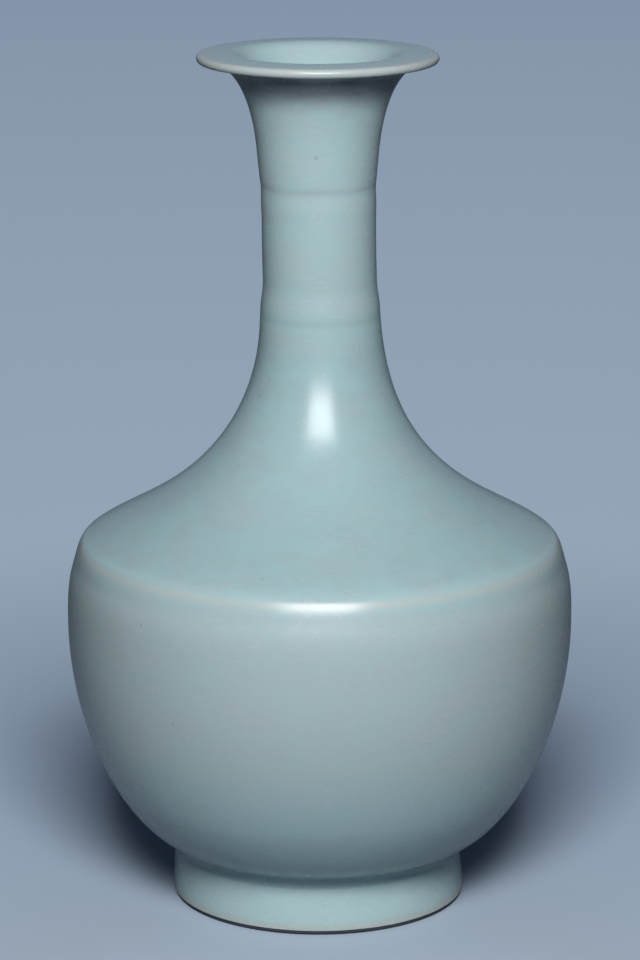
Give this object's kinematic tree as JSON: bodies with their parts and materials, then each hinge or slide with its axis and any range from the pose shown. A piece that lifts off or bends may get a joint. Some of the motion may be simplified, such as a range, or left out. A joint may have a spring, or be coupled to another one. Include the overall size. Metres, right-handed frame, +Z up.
{
  "type": "ru ware bottle vase",
  "caption": "Long-necked glazed stoneware bottle vase with a wide drooping lip, string lines on the neck, a ridged shoulder and a ring foot.",
  "frame": {"origin": "centre of the foot's tread, in the plane that the vase stands on", "axes": "+Z up along the vase's axis; X and Y are any two directions square to it, since the vase is round"},
  "size_m": [0.1412, 0.1412, 0.24],
  "materials": {
    "burnt_foot": "matte fired stoneware, burnt dark brown on the bare tread",
    "luting_slip": "matte fired slip",
    "stoneware": "matte fired stoneware, pale grey buff",
    "celadon_glaze": "soft gloss blue-green glaze with a faint fine crackle, thin and pinkish on the lip and ridge"
  },
  "bodies": {
    "root": {"foot_ring": "burnt_foot", "foot_luting_slip": "luting_slip", "lower_body": "stoneware", "ridge_luting_slip": "luting_slip", "shoulder_dome": "stoneware", "neck_root_luting_slip": "luting_slip", "neck_tube": "stoneware", "mouth_luting_slip": "luting_slip", "mouth_rim": "stoneware", "glaze_outside": "celadon_glaze", "glaze_inside": "celadon_glaze", "glaze_under_foot": "celadon_glaze"}
  },
  "joints": []
}
